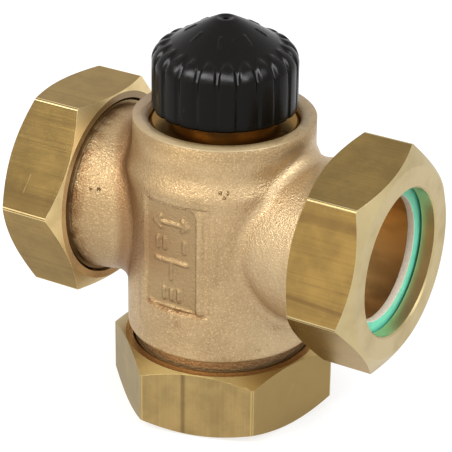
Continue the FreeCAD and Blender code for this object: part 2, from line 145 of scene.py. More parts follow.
class ValveColours(bpy.types.PropertyGroup):
    """Colours of the finishes"""
    # Also, made lighter, the colour of the painted glints
    cast_light: colour("Cast, light", (0.52, 0.368, 0.20), "Blasted casting on its high places")
    # Also the colour of the painted shade on the left branch and under the rim
    cast_dark: colour("Cast, dark", (0.36, 0.245, 0.122), "Blasted casting in its hollows")
    # Painted light: the right branch's casting is paler, standing in for the light from the right
    cast_painted_light: colour("Cast, pale", (0.60, 0.47, 0.29), "Cleaner skin of the casting on its right branch")
    # Painted light: a light colour in the groove behind the side nuts, which lies in their shadow
    groove_painted_light: colour("Cast, groove", (0.86, 0.70, 0.46), "Bare casting behind the side nuts")
    # Also the colour of painted shade in the valleys, along the panel's edges, at the top of the low groove and
    # at the rim's left
    cast_stain_and_shade: colour("Cast, stained", (0.24, 0.125, 0.052), "Brown skin of the casting in its grooves")
    machined: colour("Machined", (0.33, 0.236, 0.112), "Turned rim, faces and threads of the body")
    # Painted highlight: lighter outer half of the turned rim at its front
    rim_painted_highlight: colour("Rim edge", (0.60, 0.48, 0.28), "Outer half of the turned rim")
    bore: colour("Bore", (0.62, 0.38, 0.14), "Wet side of the casting")
    drawn_light: colour("Drawn brass, light", (0.29, 0.192, 0.066), "Clean flats of the nuts")
    drawn_dark: colour("Drawn brass, dark", (0.195, 0.128, 0.047), "Tarnish on the flats")
    pale_light: colour("Pale brass, light", (0.41, 0.285, 0.115), "Clean flats of the bottom nut")
    pale_dark: colour("Pale brass, dark", (0.28, 0.193, 0.078), "Tarnish on the bottom nut's flats")
    pale_edge: colour("Pale edge tint", (0.72, 0.7, 0.62), "Tint of the bottom nut at flat angles")
    edge_tint: colour("Edge tint", (1.0, 0.9, 0.74), "Tint of the side nuts at flat angles")
    drawn_band: colour("Drawing bands", (0.12, 0.072, 0.032), "Brown bands that the drawing die leaves")
    turned: colour("Turned brass", (0.535, 0.435, 0.235), "Turned faces and chamfers of the right nut")
    # Painted light: a lighter copy of the turned brass for the left nut
    turned_painted_light_left: colour("Turned brass, left", (0.84, 0.65, 0.33), "Turned faces and chamfers of the left nut")
    turned_warm: colour("Warm turned brass", (0.50, 0.37, 0.15), "Turned faces and chamfers of the bottom nut")
    # Painted reflection: the lip's hole is lighter, standing in for the gasket and surroundings that it mirrors
    lip_hole_painted_light: colour("Lip hole", (0.80, 0.66, 0.36), "Hole in the lip of a nut")
    countersink: colour("Countersink", (0.90, 0.62, 0.31), "Countersinks and threads of the nuts")
    polished: colour("Polished brass", (0.19, 0.092, 0.025), "Bonnet and gland")
    polished_tint: colour("Polished tint", (1.0, 0.88, 0.66), "Tint of the bonnet at flat angles")
    gasket_face: colour("Gasket face", (0.16, 0.70, 0.50), "Coated face of a gasket")
    gasket_core: colour("Gasket core", (0.95, 0.86, 0.70), "Fibre at the cut edge of a gasket")
    cap: colour("Cap", (0.0012, 0.001, 0.0008), "Moulded cap")
    steel: colour("Steel", (0.56, 0.56, 0.57), "Spindle and spring")
    rubber: colour("Rubber", (0.02, 0.02, 0.021), "Seals")
    floor: colour("Floor", (0.36, 0.36, 0.36), "Floor under the valve")


class ValveStage(bpy.types.PropertyGroup):
    """Camera and light"""
    azimuth: degrees("Azimuth", 30.887, "Camera's direction round the valve")
    elevation: degrees("Elevation", 26.078, "Camera's height above the horizon")
    roll: degrees("Roll", 0.66, "Camera's tilt")
    distance: length("Distance", 575, "From the crossing of the port axes to the camera")
    lens: FloatProperty(name="Lens", description="Focal length in millimetres", default=176.0)
    shift_x: FloatProperty(name="Shift X", description="Camera's sideways shift", default=0.0054)
    shift_y: FloatProperty(name="Shift Y", description="Camera's upward shift", default=-0.0267)
    key: watts("Key light", 3.3, "Power of the light high in front")
    right: watts("Right light", 6.4, "Power of the light at the right")
    left: watts("Left light", 0.35, "Power of the light at the left")
    front: watts("Front light", 1.2, "Power of the light in front")
    fill: watts("Fill light", 0.7, "Power of the light at the front left")
    cap: watts("Cap light", 50.0, "Power of the wide light that only the cap takes")
    right_colour: colour("Right colour", (0.92, 0.96, 1.0), "Colour of the light at the right")
    fill_colour: colour("Fill colour", (1.0, 0.84, 0.5), "Colour of the light at the front left")


# Tables. Lengths are in millimetres, and places are measured from the crossing of the port axes

DOT_CORE, STROKE_CORE = 0.35, 0.3    # share of a dot's or stroke's reach that has its full strength

# Where the tone changes: the left nut (painted light, lighter), the bottom nut's right flat and the tops of the
# countersinks (painted shade, darker), and the gaskets
# Painted light: where the turned brass changes to its lighter tone on the left
LEFT_SIDE = (0.0, -10.0)
SHADED_RIGHT_FLAT = (21.4, 22.2)
# Painted shade: heights over which the side nuts' countersinks darken towards the top
SHADED_ENTRY_TOP = (9.0, 18.0)
SIDE_GASKETS, GASKET_CUT = (40.0, 41.0), (16.62, 16.5)
GASKET_EASE, GASKET_STEPS = 0.3, 160

# Marks on the casting and the nuts: both ends, width and strength
PIT_RADIUS = 0.62
PITS = ((-28.0, -20.0, 8.2), (-25.8, -19.5, 8.3), (11.9, -21.5, 17.6), (13.4, -20.6, 17.6),
        (13.0, -21.4, 16.5))
SCRATCHES = (
    ((-43.65, -24.34, 10.1), (-44.3, -27.2, 5.6), 0.12, 0.4),
    ((46.4, -19.5, 20.6), (48.4, -20.2, 19.2), 0.12, 0.4),
    ((25.3, -5.8, -40.2), (24.9, -7.4, -43.0), 0.12, 0.4),
)
BANDS = (
    ((34.0, -21.2, 17.6), (52.0, -21.2, 17.6), 2.6, 0.5), ((34.0, -27.7, -1.7), (52.0, -28.0, -2.7), 1.0, 0.8),
    ((34.0, -27.9, -2.6), (52.0, -28.2, -3.6), 3.2, 0.3), ((3.9, -25.9, -34.0), (3.9, -25.9, -53.0), 0.9, 0.7),
    ((-52.0, -28.0, 4.4), (-34.0, -28.0, 4.4), 4.0, 0.4),
    ((-52.0, -22.5, -13.0), (-34.0, -22.5, -13.0), 16.0, 0.3),
    ((-52.0, -16.4, 22.7), (-34.0, -16.4, 22.7), 0.9, 0.4),
)
# Painted shade: dark lines along the edges of the front panel and its strip
PANEL_EDGE_SHADE = (
    ((-8.4, -23.4, 11.5), (-8.4, -23.4, -17.0), 0.8, 0.4), ((6.1, -23.6, 8.0), (6.1, -23.6, -16.5), 0.7, 0.45),
    ((8.3, -23.6, 10.5), (8.3, -23.6, -4.5), 0.8, 0.35),
    ((-8.2, -23.6, -17.0), (-2.0, -24.6, -17.4), 1.3, 0.75),
    ((-2.0, -24.6, -17.4), (8.0, -23.6, -17.4), 1.2, 0.75),
    ((-7.8, -23.4, 11.9), (5.0, -23.6, 11.9), 0.9, 0.5),
)

# Front panel: its reach along X and Z, and what is raised on it
PANEL = ((-11.4, 11.4), (-19.4, 14.6))
PANEL_FRONT, PANEL_FACING, BODY_FLAT = -20.0, 0.3, 0.3
PANEL_FOOT, FOOT_TURNS = -16.0, 8
BEHIND, FLOOR_NEAR = 0.04, 0.05
SKIN_HEIGHT, SKIN_SCALE = 0.03, 900
SIGN_WANDER, SIGN_SCALE = 0.22, 700
SIGN_FOOT, STRIP_FOOT = 1.6, 1.9     # half widths from the middle of a stroke to the foot of its slope
STRIP = ((7.3, 10.6), (7.3, -16.6))
SIGNS = (
    ((-6.2, 6.4), (3.6, 6.4)), ((-6.2, 6.4), (-4.4, 7.9)), ((-6.2, 6.4), (-4.4, 4.9)),
    ((3.6, 6.4), (1.8, 7.9)), ((3.6, 6.4), (1.8, 4.9)), ((-5.4, -0.9), (-5.4, 1.8)),
    ((-3.4, -0.9), (-3.4, 1.8)), ((2.4, -0.9), (2.4, 1.8)), ((-5.9, -4.2), (3.2, -4.2)),
    ((-1.4, -4.2), (-1.4, -9.2)), ((-3.6, -12.4), (-3.6, -14.9)), ((-1.4, -12.4), (-1.4, -14.9)),
    ((0.8, -12.4), (0.8, -14.9)),
)

# Threads: how deep the foot is sunk in its wall, the widths at foot and crest, and where they end
THREADS = {
    "port": (0.05, 1.55, 0.4), "neck": (0.04, 1.0, 0.25),
    "nut": (0.05, 1.5, 0.4), "cap": (0.03, 1.0, 0.25),
}
THREAD_STEPS, RUN_OUT, THREAD_END = 60, 0.35, 0.02
PORT_ENDS, NECK_ENDS, CAP_ENDS = (1.4, 1.2), (8.4, 1.6), (1.75, 8.6)
NUT_START, NUT_END = 1.3, 1.0        # turns after the countersink, millimetres before the lip
NUT_PLAY, CAP_PLAY = 0.04, 0.03

# Nuts: degrees at which faces are joined and edges broken, how near to the bore a point counts as in it, and
# how far a face looks outwards, inwards or back to be a flat, the bore, the lip's hole or the inner ring
NUT_FLAT, NUT_EDGE, BORE_NEAR = 0.5, 18, 0.05
FLAT_OUT, BORE_IN, HOLE_IN, RING_BACK = 0.98, -0.3, -0.9, -0.95

# Cap: its lower edge as inset and rise, the cone's tip and the dish in it as radius and drop, and its inside
CAP_EDGE = ((0.5, 0.0), (0.1, 0.15), (0.0, 0.6))
CAP_TIP = (3.2, 0.75)
DISH = ((2.7, 0.49), (2.2, 0.38), (1.8, 0.45), (1.2, 0.73), (0.75, 0.85), (0.65, 1.55), (0.0, 1.65))
CAP_WALL, CAP_BOSS, CAP_CEILING, CAP_ENTRY, STEM_PLAY = 2.3, 3.4, 10.9, 0.8, 0.05
SKIRT_STEPS, HEAD_STEPS, SLOPE_STEPS, RIB_STEPS = 8, 16, 30, 18
SOFT_BEFORE, SOFT_AFTER, SOFT_TURNS = 6, 8, 12
TICK_SLOPE = 0.35

# Ribs: where along a head they start to close and how far they do, a groove's floor and wall as shares of its
# half width, the rounding of a crest, and how much shallower a groove is at the skirt's foot
RIB_CLOSING, RIB_CLOSED, RIB_ROUND = 0.35, 0.9, 0.3
GROOVE_FLOOR, GROOVE_WALL, GROOVE_SHALLOW = 0.25, 0.95, 0.5

SPRING_TURNS, SPRING_STEPS = 4.5, 36

# Stage: the lights' sizes and places are in metres, and so is half the floor's width
FLOOR_HALF, FLOOR_GLOW, WORLD_LIGHT = 4.0, 0.7, 0.85
SENSOR_WIDTH, CLIP = 36.0, (0.01, 20.0)
LIGHTS = {
    "key": ((0.4, 0.3), (-0.24, -0.62, 0.64)),
    "right": ((0.7, 0.5), (0.74, -0.10, 0.86)),
    "left": ((0.5, 0.4), (-0.82, -0.22, 0.78)),
    "front": ((0.9, 0.4), (0.2, -0.95, 0.42)),
    "fill": ((0.7, 0.4), (-0.42, -0.80, 0.14)),
    "cap": ((2.2, 0.45), (0.12, -0.70, 0.76)),
}


def from_middle(point):
    """Place in metres of a point in millimetres from the crossing."""
    return CROSSING + Vector(point) * MM


# Finishes

Place = namedtuple("Place", "x y z from_x from_z")


class Nodes:
    """A node tree, with short ways to add nodes to it."""

    def __init__(self, tree):
        self.tree = tree

    def set(self, node, socket, value):
        """Links a node's input to a socket, or gives it a constant."""
        target = node.inputs[socket]
        if isinstance(value, bpy.types.NodeSocket):
            self.tree.links.new(value, target)
        elif isinstance(target.default_value, float):
            target.default_value = value
        else:
            target.default_value = (*value, 1.0)[:len(target.default_value)]

    def add(self, kind, sockets=None, **settings):
        node = self.tree.nodes.new(kind)
        for key, value in settings.items():
            setattr(node, key, value)
        for socket, value in (sockets or {}).items():
            self.set(node, socket, value)
        return node

    def math(self, operation, a, b=0.0, clamp=False):
        node = self.add("ShaderNodeMath", {0: a, 1: b}, operation=operation, use_clamp=clamp)
        return node.outputs[0]

    def fold(self, operation, first, *others):
        for other in others:
            first = self.math(operation, first, other)
        return first

    def times(self, *values):
        return self.fold("MULTIPLY", *values)

    def plus(self, *values):
        return self.fold("ADD", *values)

    def largest(self, *values):
        return self.fold("MAXIMUM", *values)

    def minus(self, a, b):
        return self.math("SUBTRACT", a, b)

    def gap(self, a, b):
        return self.math("ABSOLUTE", self.minus(a, b))

    def ramp(self, value, low, high):
        """0 at low, 1 at high, smooth between and level beyond; it falls where high is the smaller one."""
        sockets = {"Value": value, "From Min": low, "From Max": high}
        return self.add("ShaderNodeMapRange", sockets, interpolation_type="SMOOTHSTEP").outputs["Result"]

    def spread(self, value, low, high):
        """Maps 0 to 1 onto low to high."""
        return self.add("ShaderNodeMapRange", {"Value": value, "To Min": low, "To Max": high}).outputs["Result"]

    def seen(self):
        """1 for what the camera sees, straight, mirrored or through something clear."""
        path = self.add("ShaderNodeLightPath").outputs
        return self.largest(*(path["Is %s Ray" % kind] for kind in ("Camera", "Glossy", "Transmission")))


class Finish(Nodes):
    """One material: a Principled shader, and the textures that feed it."""

    def __init__(self, name, **constants):
        self.material = bpy.data.materials.new(name)
        self.material.use_nodes = True
        super().__init__(self.material.node_tree)
        self.shader = self.tree.nodes["Principled BSDF"]
        self.place = self.add("ShaderNodeTexCoord").outputs["Object"]
        for socket, value in constants.items():
            self.set(self.shader, SHADER_SOCKETS[socket], value)

    def vector(self, operation, sockets, output=0):
        """A vector operation: the vector that it gives, or the number where output is "Value"."""
        return self.add("ShaderNodeVectorMath", sockets, operation=operation).outputs[output]

    def mix(self, share, first, second):
        return self.add("ShaderNodeMix", {0: share, 6: first, 7: second}, data_type="RGBA").outputs[2]

    def stretched(self, scale):
        """Object coordinates, scaled by axis."""
        return self.add("ShaderNodeMapping", {"Vector": self.place, "Scale": scale}).outputs[0]

    def noise(self, scale, detail=2.0, roughness=0.5, vector=None):
        sockets = {"Vector": vector or self.place, "Scale": scale, "Detail": detail, "Roughness": roughness}
        return self.add("ShaderNodeTexNoise", sockets).outputs["Fac"]

    def rings(self, scale, radius):
        """Noise along the distance from an axis, as a lathe tool leaves it."""
        sockets = {"W": radius, "Scale": scale, "Detail": 3.0}
        return self.add("ShaderNodeTexNoise", sockets, noise_dimensions="1D").outputs["Fac"]

    def parts(self):
        """Millimetres from the crossing of the port axes: x, y, z, and the distances from the X and Z axes."""
        moved = self.vector("SUBTRACT", {0: self.place, 1: CROSSING})
        scaled = self.vector("SCALE", {0: moved, "Scale": 1 / MM})
        x, y, z = self.add("ShaderNodeSeparateXYZ", {0: scaled}).outputs
        side = self.add("ShaderNodeCombineXYZ", {1: y, 2: z}).outputs[0]
        flat = self.add("ShaderNodeCombineXYZ", {0: x, 1: y}).outputs[0]
        return Place(x, y, z, *(self.vector("LENGTH", {0: away}, "Value") for away in (side, flat)))

    def dots(self, centres, radius):
        """1 close to any of the points, all in millimetres from the crossing."""
        gaps = (self.vector("DISTANCE", {0: self.place, 1: from_middle(centre)}, "Value") for centre in centres)
        return self.largest(*(self.ramp(gap, radius * MM, DOT_CORE * radius * MM) for gap in gaps))

    def stroke(self, first, last, width):
        """1 along the straight line between two points, all in millimetres from the crossing."""
        first, last = from_middle(first), from_middle(last)
        along = last - first
        gone = self.vector("SUBTRACT", {0: self.place, 1: first})
        share = self.vector("DOT_PRODUCT", {0: gone, 1: along / along.length_squared}, "Value")
        near = self.vector("SCALE", {0: along, "Scale": self.math("MULTIPLY", share, 1.0, clamp=True)})
        gap = self.vector("DISTANCE", {0: gone, 1: near}, "Value")
        return self.ramp(gap, width * MM, STROKE_CORE * width * MM)

    def strokes(self, rows):
        """Strokes with their ends, widths and strengths; the strongest counts."""
        return self.largest(*(self.times(self.stroke(first, last, width), strength)
                              for first, last, width, strength in rows))

    def bump(self, height, depth):
        """Relief of the given depth in metres."""
        sockets = {"Height": height, "Distance": depth, "Strength": 1.0}
        return self.add("ShaderNodeBump", sockets).outputs["Normal"]

    def lines_round(self, axis, amount, across):
        """Anisotropy from lines round an axis, or along it where across is true."""
        tangent = self.add("ShaderNodeTangent", direction_type="RADIAL", axis=axis)
        self.set(self.shader, "Tangent", tangent.outputs[0])
        self.set(self.shader, "Anisotropic", amount)
        self.set(self.shader, "Anisotropic Rotation", 0.0 if across else 0.25)

    def done(self, base, roughness, normal=None):
        self.set(self.shader, "Base Color", base)
        self.set(self.shader, "Roughness", roughness)
        if normal is not None:
            self.set(self.shader, "Normal", normal)
        return self.material


class Zone:
    """Where places on the casting start and are full, in millimetres from the crossing of the port axes."""
    left_to_right = (-5.0, 5.0)
    right_branch = (13.0, 23.0)
    left_branch = (-18.0, -26.0)
    left_low = (10.0, -8.0)
    under_rim = (23.5, 26.5)
    smooth_neck = (17.0, 23.0)
    side_groove, side_groove_wall = (33.0, 33.15), (22.2, 21.9)
    low_groove, low_groove_wall, low_groove_top = (-30.9, -31.2), (24.0, 23.2), (-34.0, -32.6)
    near_nut = (27.5, 32.6)
    spotted = (4.0, -24.0)
    branch_foot, by_branch = 21.0, (5.0, 1.0)
    barrel_side, by_barrel = 25.5, (4.0, 1.0)
    panel_left, panel_right = (-8.6, -7.9), (6.4, 5.7)
    panel_low, panel_high = (-17.5, -16.8), (12.2, 11.5)
    panel_front = (-20.0, -21.0)
    rim, rim_left, rim_outer, rim_front = (28.24, 28.3), (-5.0, -17.0), (20.9, 21.6), (-2.0, -18.0)
    side_thread, low_thread = (33.66, 33.7), (-34.36, -34.4)
    side_bore, side_bore_end = (16.5, 16.42), (19.0, 19.5)
    middle_bore, middle_bore_top = (19.6, 19.52), (28.0, 27.9)


def cast_tone(f, at, out, colours, grain, glint):
    """Bare casting: paler at the right as painted light, darker on the left branch and under the rim as painted
    shade, lightened in the groove behind the side nuts as painted light, with painted glints, and darker in the
    panel.
    """
    clouds = f.noise(75, 3.0, 0.6)
    tone = f.plus(f.times(f.ramp(clouds, 0.3, 0.7), 0.5), f.times(f.ramp(grain, 0.3, 0.7), 0.5))
    cast = f.mix(tone, colours.cast_dark, colours.cast_light)
    # Painted light: paler towards the right branch, for the light from the right
    cast = f.mix(f.times(f.ramp(at.x, *Zone.right_branch), 0.42), cast, colours.cast_painted_light)
    # Painted shade: the left branch, more so low down, and the band under the rim are darkened
    left = f.times(f.ramp(at.x, *Zone.left_branch), f.spread(f.ramp(at.z, *Zone.left_low), 0.3, 0.75))
    shaded = f.largest(left, f.times(f.ramp(at.z, *Zone.under_rim), 0.85))
    cast = f.mix(shaded, cast, colours.cast_dark)
    # Painted glints: specks of lighter colour
    cast = f.mix(f.times(glint, 0.33), cast, colours.cast_light * 1.6)
    # Painted light: the shadowed groove behind the side nuts is lightened
    groove = f.times(f.ramp(out, *Zone.side_groove), f.ramp(at.from_x, *Zone.side_groove_wall))
    cast = f.mix(f.times(groove, 0.8), cast, colours.groove_painted_light)
    recess = f.times(f.ramp(at.x, *Zone.panel_left), f.ramp(at.x, *Zone.panel_right),
                     f.ramp(at.z, *Zone.panel_low), f.ramp(at.z, *Zone.panel_high),
                     f.ramp(at.y, *Zone.panel_front))
    return f.mix(f.times(recess, 0.8), cast, colours.cast_dark * 0.9)


def cast_stain_and_shade(f, at, out, grain, pits):
    """Share of brown skin and of painted shade: painted shade in the valleys by the branches and along the
    panel's edges, brown skin in the low groove, darkened towards its top as painted shade, and brown skin close
    to the side nuts, in pits and in spots.
    """
    across = f.ramp(at.x, *Zone.left_to_right)
    # Brown skin in the low groove, darkened towards its top as painted shade
    groove = f.times(f.ramp(at.z, *Zone.low_groove), f.ramp(at.from_z, *Zone.low_groove_wall),
                     f.spread(f.ramp(at.z, *Zone.low_groove_top), 0.35, 1.0),
                     f.spread(f.ramp(grain, 0.35, 0.65), 0.6, 1.0))
    near_nut = f.times(f.ramp(out, *Zone.near_nut), f.ramp(f.noise(210, 3.0, 0.7), 0.4, 0.6),
                       f.spread(across, 0.85, 0.2))
    spots = f.times(f.ramp(f.noise(330, 3.0, 0.7), 0.6, 0.74), f.ramp(at.z, *Zone.spotted), 0.45)
    # Painted shade: darker in the valleys where the branches meet the barrel, more so on the left
    valley_shade = f.times(f.ramp(f.gap(at.from_x, Zone.branch_foot), *Zone.by_branch),
                     f.ramp(f.gap(at.from_z, Zone.barrel_side), *Zone.by_barrel), f.spread(across, 0.8, 0.1))
    # Painted shade: dark lines along the panel's edges
    edge_shade = f.times(f.strokes(PANEL_EDGE_SHADE), f.spread(f.ramp(f.noise(420, 2.0, 0.6), 0.35, 0.6), 0.35, 1.0))
    return f.largest(valley_shade, edge_shade, groove, near_nut, pits, spots)


def machined_tone(f, at, colours, rim, turning, lumps):
    """Turned rim, faces and threads of the body: darker at the rim's left as painted shade, lighter at its
    outer front edge as a painted highlight.
    """
    share = f.plus(f.times(turning, 0.3), f.times(f.ramp(lumps, 0.5, 0.7), 0.45))
    tone = f.mix(share, colours.machined, colours.cast_stain_and_shade)
    # Painted shade: the rim's left part is darkened
    tone = f.mix(f.times(rim, f.ramp(at.x, *Zone.rim_left), 0.5), tone, colours.cast_stain_and_shade)
    # Painted highlight: the outer half of the rim is lighter at the front
    front_highlight = f.times(rim, f.ramp(at.from_z, *Zone.rim_outer), f.ramp(at.y, *Zone.rim_front), 0.3)
    return f.mix(front_highlight, tone, colours.rim_painted_highlight)


def cast_gunmetal(name, colours):
    """Blasted casting with turned rim and ports, brown grooves and dark waterways, and painted light and
    painted shade in its tones.
    """
    f = Finish(name)
    at = f.parts()
    out = f.math("ABSOLUTE", at.x)
    grain = f.noise(1900, 2.0, 0.6)
    lumps = f.noise(700)
    glint = f.ramp(f.noise(2100, 1.0), 0.56, 0.7)
    pits = f.times(f.dots(PITS, PIT_RADIUS), f.ramp(f.noise(2300), 0.42, 0.56))
    cast = cast_tone(f, at, out, colours, grain, glint)
    cast = f.mix(cast_stain_and_shade(f, at, out, grain, pits), cast, colours.cast_stain_and_shade)
    rim = f.ramp(at.z, *Zone.rim)
    turned = f.largest(rim, f.ramp(out, *Zone.side_thread), f.ramp(at.z, *Zone.low_thread))
    bore = f.largest(f.times(f.ramp(at.from_x, *Zone.side_bore), f.ramp(out, *Zone.side_bore_end)),
                     f.times(f.ramp(at.from_z, *Zone.middle_bore), f.ramp(at.z, *Zone.middle_bore_top)))
    turning = f.rings(9000, f.times(at.from_z, MM))
    machined = machined_tone(f, at, colours, rim, turning, lumps)
    clouds = f.noise(150, 1.5, 0.5, f.stretched((0.35, 1, 1)))
    wet = f.mix(f.ramp(clouds, 0.4, 0.72), colours.bore, colours.bore * 0.55)
    base = f.mix(bore, f.mix(turned, cast, machined), wet)
    rough = f.minus(f.spread(turned, 0.43, 0.42), f.times(glint, 0.1))
    rough = f.plus(rough, f.times(f.minus(lumps, 0.5), 0.1))
    f.set(f.shader, "Metallic", f.spread(rim, 0.93, 0.3))
    relief = f.minus(f.plus(f.times(grain, 0.7), f.times(lumps, 0.35)), f.times(pits, 2.0))
    relief = f.times(relief, f.minus(1.0, turned), f.spread(f.ramp(at.z, *Zone.smooth_neck), 1.0, 0.6))
    relief = f.plus(relief, f.times(turning, turned, 0.06))
    return f.done(base, rough, f.bump(relief, 0.32 * MM))


def drawn_brass(name, axis, light, shade, edge, colours):
    """Flats of a drawn hexagon bar: lines and bands along the bar, tarnish, a few scratches, and painted shade
    on the bottom nut's right flat.
    """
    f = Finish(name, metallic=1.0, tint=edge)
    upright = axis == "Z"
    along = f.stretched([0.012 if letter == axis else 1.0 for letter in "XYZ"])
    streaks = f.noise(2600, 3.0, 0.6, along)
    bands = f.noise(270, 2.0, 0.6, along)
    patches = f.noise(120, 4.0, 0.65)
    dark = f.times(f.ramp(bands, 0.6, 0.7), f.ramp(f.noise(90), 0.3, 0.5))
    tone = f.plus(f.times(f.ramp(streaks, 0.3, 0.7), 0.35), f.times(f.ramp(patches, 0.32, 0.68), 0.65))
    base = f.mix(tone, shade, light)
    if upright:
        # Painted shade: the bottom nut's right flat is darkened
        base = f.mix(f.times(f.ramp(f.parts().x, *SHADED_RIGHT_FLAT), 0.8), base, shade)
    base = f.mix(f.times(dark, 0.15 if upright else 0.4), base, colours.drawn_band)
    worn = f.times(f.strokes(BANDS), f.spread(f.ramp(bands, 0.35, 0.6), 0.5, 1.0))
    base = f.mix(worn, base, colours.drawn_band)
    base = f.mix(f.strokes(SCRATCHES), base, colours.turned)
    rough = f.plus(f.spread(streaks, 0.17, 0.27), f.times(dark, 0.12))
    f.lines_round(axis, 0.55, across=True)
    return f.done(base, rough, f.bump(f.plus(streaks, f.times(bands, 0.8)), 0.008 * MM))


def turned_brass(name, axis, tone, shade, roughness, left_painted_light=None, shade_above=None, metallic=1.0, tint=(1, 1, 1)):
    """Brass from a lathe: fine rings round the axis, a lighter tone for the left side as painted light, and
    painted shade that darkens it high up.
    """
    f = Finish(name, metallic=metallic, tint=tint)
    at = f.parts()
    radius = f.times(at.from_z if axis == "Z" else at.from_x, MM)
    turning = f.rings(7000, radius)
    clouds = f.noise(90, 3.0, 0.6)
    # Painted light: lighter on the left side
    if left_painted_light is not None:
        tone = f.mix(f.ramp(at.x, *LEFT_SIDE), tone, left_painted_light)
    base = f.mix(f.plus(f.times(turning, 0.3), f.times(f.ramp(clouds, 0.4, 0.75), 0.3)), tone, shade)
    # Painted shade: darker high up
    if shade_above is not None:
        base = f.mix(f.times(f.ramp(at.z, *shade_above), 0.85), base, shade)
    rough = f.plus(roughness, f.times(f.minus(clouds, 0.5), 0.16))
    f.lines_round(axis, 0.4, across=False)
    relief = f.plus(f.times(turning, 0.5), f.rings(900, radius))
    return f.done(base, rough, f.bump(relief, 0.006 * MM))


def gasket_sheet(name, colours):
    """Fibre sheet with a coated face and a bare cut edge."""
    f = Finish(name, specular=0.45)
    at = f.parts()
    side = f.ramp(f.math("ABSOLUTE", at.x), *SIDE_GASKETS)
    radius = f.plus(f.times(at.from_x, side), f.times(at.from_z, f.minus(1.0, side)))
    cut = f.ramp(radius, *GASKET_CUT)
    fibre = f.noise(1600, 4.0, 0.7)
    face = f.mix(f.ramp(f.noise(240, 3.0), 0.35, 0.75), colours.gasket_face, colours.gasket_face * 0.84)
    core = f.mix(fibre, colours.gasket_core, colours.gasket_core * 0.55)
    return f.done(f.mix(cut, face, core), f.spread(cut, 0.38, 0.8), f.bump(fibre, 0.05 * MM))


def cap_plastic(name, colours):
    """Black moulded plastic with a satin skin and light scuffs."""
    f = Finish(name, specular=0.108)
    scuffs = f.ramp(f.noise(520, 3.0, 0.6), 0.66, 0.78)
    base = f.mix(f.times(scuffs, 0.5), colours.cap, colours.cap * 6.0)
    rough = f.plus(f.spread(f.noise(130, 3.0, 0.65), 0.2, 0.3), f.times(scuffs, 0.1))
    return f.done(base, rough, f.bump(f.noise(3200, 2.0, 0.6), 0.02 * MM))


def ground_steel(name, colours):
    """Steel with fine grinding marks across its length."""
    f = Finish(name, metallic=1.0)
    marks = f.noise(1800, 3.0, 0.6, f.stretched((1, 1, 0.1)))
    base = f.mix(marks, colours.steel, colours.steel * 0.7)
    return f.done(base, f.spread(marks, 0.2, 0.36), f.bump(marks, 0.004 * MM))


def seal_rubber(name, colours):
    """Dull black rubber."""
    f = Finish(name, specular=0.4)
    skin = f.noise(2600, 3.0, 0.6)
    base = f.mix(skin, colours.rubber, colours.rubber * 1.8)
    return f.done(base, f.spread(skin, 0.5, 0.68), f.bump(skin, 0.015 * MM))


def finish(name, make, *settings, **named):
    """The material of that name, made on its first use."""
    return bpy.data.materials.get(name) or make(name, *settings, **named)


def polished_brass(colours):
    """Finish of the bonnet and the gland."""
    return finish("polished_brass", turned_brass, "Z", colours.polished, colours.drawn_light, 0.3,
                  tint=colours.polished_tint)


def nut_finishes(axis, colours):
    """Drawn flats, turned faces, countersunk thread and lip's hole of a nut along X or Z."""
    tag = "_brass_" + axis.lower()
    if axis == "Z":
        tones = (colours.pale_light, colours.pale_dark, colours.pale_edge)
        faces, entry = (colours.turned_warm, colours.drawn_light, 0.42), {}
    else:
        tones = (colours.drawn_light, colours.drawn_dark, colours.edge_tint)
        # Painted light: the left nut's turned faces take a lighter tone
        faces = (colours.turned, colours.drawn_light, 0.42, colours.turned_painted_light_left)
        # Painted shade: the side nuts' countersinks darken towards the top
        entry = {"shade_above": SHADED_ENTRY_TOP, "metallic": 0.5}
    return [finish("drawn" + tag, drawn_brass, axis, *tones, colours),
            finish("turned" + tag, turned_brass, axis, *faces),
            finish("countersunk" + tag, turned_brass, axis, colours.countersink, colours.drawn_dark, 0.27,
                   **entry),
            # Painted reflection: lighter colour in the lip's hole
            finish("lip" + tag, turned_brass, axis, colours.lip_hole_painted_light, colours.turned, 0.32)]


# Mesh helpers

def to_port(port):
    """Turns the working position, where +Z leads outwards, to a port of the valve."""
    return TO_MIDDLE @ Matrix.Rotation(math.radians(PORTS[port]), 4, "Y")


def from_crossing(node, port=None):
    """Low and high ends of a node along its port's axis, from the crossing of the axes."""
    low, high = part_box(node)
    if port == "left":
        return -high.x, -low.x
    if port == "right":
        return low.x, high.x
    ends = (low.z - AXIS_HEIGHT, high.z - AXIS_HEIGHT)
    return (-ends[1], -ends[0]) if port == "bottom" else ends


def as_mesh(name, form):
    """Mesh made from a bmesh, which is freed."""
    mesh = bpy.data.meshes.new(name)
    form.to_mesh(mesh)
    form.free()
    return mesh


def add_object(name, data):
    """New object in the scene with a mesh, a lamp or a camera."""
    holder = bpy.data.objects.new(name, data)
    bpy.context.scene.collection.objects.link(holder)
    return holder


def make_piece(name, form, body, finishes, node=None, sharp=32.0):
    """Turns a bmesh into a piece that rides on a body, and stands for a CAD node where one is named."""
    mesh = as_mesh(name, form)
    for material in finishes:
        mesh.materials.append(material)
    mesh.shade_smooth()
    mesh.set_sharp_from_angle(angle=math.radians(sharp))
    piece = add_object(name, mesh)
    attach(piece, body)
    if node:
        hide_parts(node)
    return piece


def cad_form(node, flat, place=None):
    """Copy of a CAD node's mesh, moved where asked, with faces joined that turn by less than flat degrees."""
    form = bmesh.new()
    form.from_mesh(frame["nodes"][node].data)
    if place is not None:
        form.transform(place)
    bmesh.ops.remove_doubles(form, verts=form.verts, dist=CAD_WELD)
    bmesh.ops.dissolve_limit(form, angle_limit=math.radians(flat), verts=form.verts, edges=form.edges)
    return form


